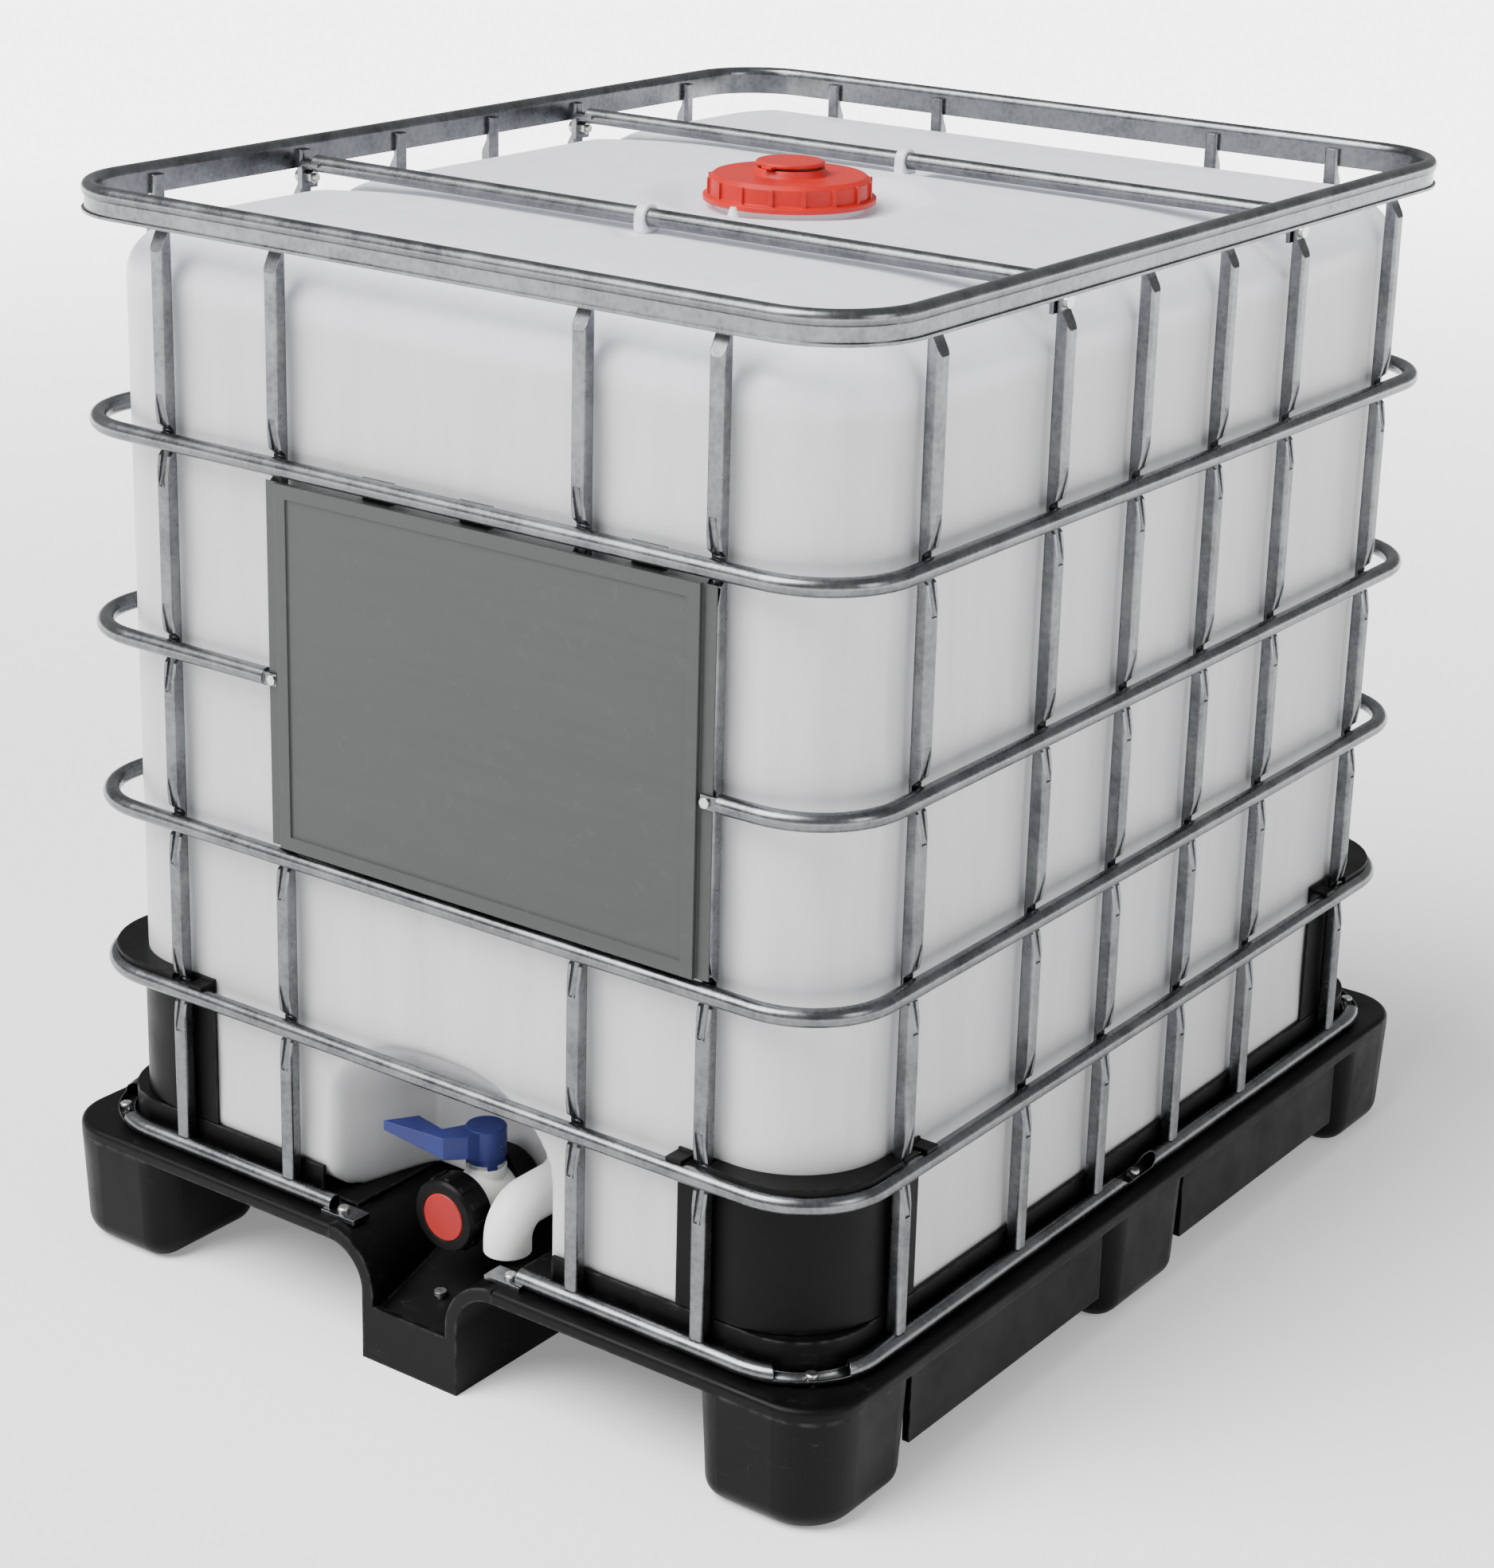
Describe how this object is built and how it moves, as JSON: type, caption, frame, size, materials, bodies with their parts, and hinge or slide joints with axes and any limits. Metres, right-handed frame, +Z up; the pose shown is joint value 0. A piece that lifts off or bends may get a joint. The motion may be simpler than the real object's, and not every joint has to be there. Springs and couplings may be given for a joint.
{
  "type": "intermediate bulk container",
  "caption": "Blow-moulded bottle in a galvanised tube cage on a plastic pallet, with a screw lid, a vent plug, a quarter-turn drain valve and a stowed elbow spout.",
  "frame": {"origin": "on the ground, under the middle of the pallet", "axes": "+Z up, the front with the drain valve faces -Y, the long side runs along Y"},
  "size_m": [1, 1.2, 1.1452],
  "materials": {
    "pallet_plastic": "scuffed moulded plastic",
    "guard_plastic": "satin moulded plastic",
    "galvanised_tube": "galvanised",
    "zinc_screws": "zinc plated",
    "plate_grey": "coated sheet",
    "bottle_plastic": "blow moulded, translucent white",
    "lid_red": "moulded",
    "cap_red": "moulded",
    "cap_black": "moulded",
    "handle_blue": "moulded",
    "valve_white": "moulded, milky",
    "seal_rubber": "plain"
  },
  "bodies": {
    "container": {"pallet_deck": "pallet_plastic", "pallet_trough": "pallet_plastic", "pallet_feet": "pallet_plastic", "pallet_skirts": "pallet_plastic", "trough_screw": "zinc_screws", "bottom_rail": "galvanised_tube", "bottom_rail_screws": "zinc_screws", "uprights_front": "galvanised_tube", "uprights_rear": "galvanised_tube", "uprights_left": "galvanised_tube", "uprights_right": "galvanised_tube", "hoop_lower": "galvanised_tube", "hoop_second": "galvanised_tube", "hoop_third": "galvanised_tube", "hoop_upper": "galvanised_tube", "top_rail": "galvanised_tube", "crossbar_front": "galvanised_tube", "crossbar_rear": "galvanised_tube", "crossbar_bolts": "zinc_screws", "crossbar_nuts": "zinc_screws", "label_plate": "plate_grey", "plate_rivets": "zinc_screws", "corner_guard_front_left": "guard_plastic", "corner_guard_front_right": "guard_plastic", "corner_guard_rear_left": "guard_plastic", "corner_guard_rear_right": "guard_plastic", "bottle_front": "bottle_plastic", "bottle_base": "bottle_plastic", "bottle_side": "bottle_plastic", "bottle_top": "bottle_plastic", "bottle_neck": "bottle_plastic", "bottle_outlet": "bottle_plastic", "bar_hooks": "bottle_plastic", "neck_lug": "bottle_plastic", "spout_spigot": "bottle_plastic", "valve_gasket": "seal_rubber", "coupling_nut": "cap_black", "valve_body": "valve_white", "valve_seat": "seal_rubber"},
    "valve_turn": {"handle": "handle_blue", "handle_pin": "zinc_screws", "lock_clip": "handle_blue", "valve_stem": "valve_white", "valve_disc": "valve_white", "stem_seals": "seal_rubber"},
    "lid_carrier": {"lid_gasket": "seal_rubber"},
    "lid": {"lid": "lid_red"},
    "vent_carrier": {"vent_gasket": "seal_rubber"},
    "vent": {"vent_plug": "lid_red"},
    "cap_carrier": {"cap_gasket": "seal_rubber"},
    "cap": {"cap_ring": "cap_black", "cap_disc": "cap_red"},
    "spout": {"elbow_spout": "valve_white"}
  },
  "joints": [
    {"name": "valve_handle_turn", "type": "hinge", "parent": "container", "child": "valve_turn", "pos_m": [0, -0.4815, 0.2], "axis": [0, 0, 1], "range_deg": [0, 90]},
    {"name": "lid_lift", "type": "slide", "parent": "container", "child": "lid_carrier", "axis": [0, 0, 1], "range_m": [0, 0.016]},
    {"name": "lid_turn", "type": "hinge", "parent": "lid_carrier", "child": "lid", "pos_m": [0, 0, 1.11], "axis": [0, 0, 1], "range_deg": [0, 720]},
    {"name": "vent_lift", "type": "slide", "parent": "lid", "child": "vent_carrier", "axis": [0, 0, 1], "range_m": [0, 0.006]},
    {"name": "vent_turn", "type": "hinge", "parent": "vent_carrier", "child": "vent", "pos_m": [0, 0, 1.13], "axis": [0, 0, 1], "range_deg": [0, 720]},
    {"name": "cap_slide", "type": "slide", "parent": "container", "child": "cap_carrier", "axis": [0, -1, 0], "range_m": [0, 0.012]},
    {"name": "cap_turn", "type": "hinge", "parent": "cap_carrier", "child": "cap", "pos_m": [0, -0.54, 0.155], "axis": [0, -1, 0], "range_deg": [0, 720]},
    {"name": "spout_slide", "type": "slide", "parent": "container", "child": "spout", "axis": [0, -1, 0], "range_m": [0, 0.15]}
  ],
  "couplings": [
    {"joint": "lid_lift", "follows": "lid_turn", "m_per_rad": 0.0012732},
    {"joint": "vent_lift", "follows": "vent_turn", "m_per_rad": 0.00047746},
    {"joint": "cap_slide", "follows": "cap_turn", "m_per_rad": 0.00095493}
  ]
}
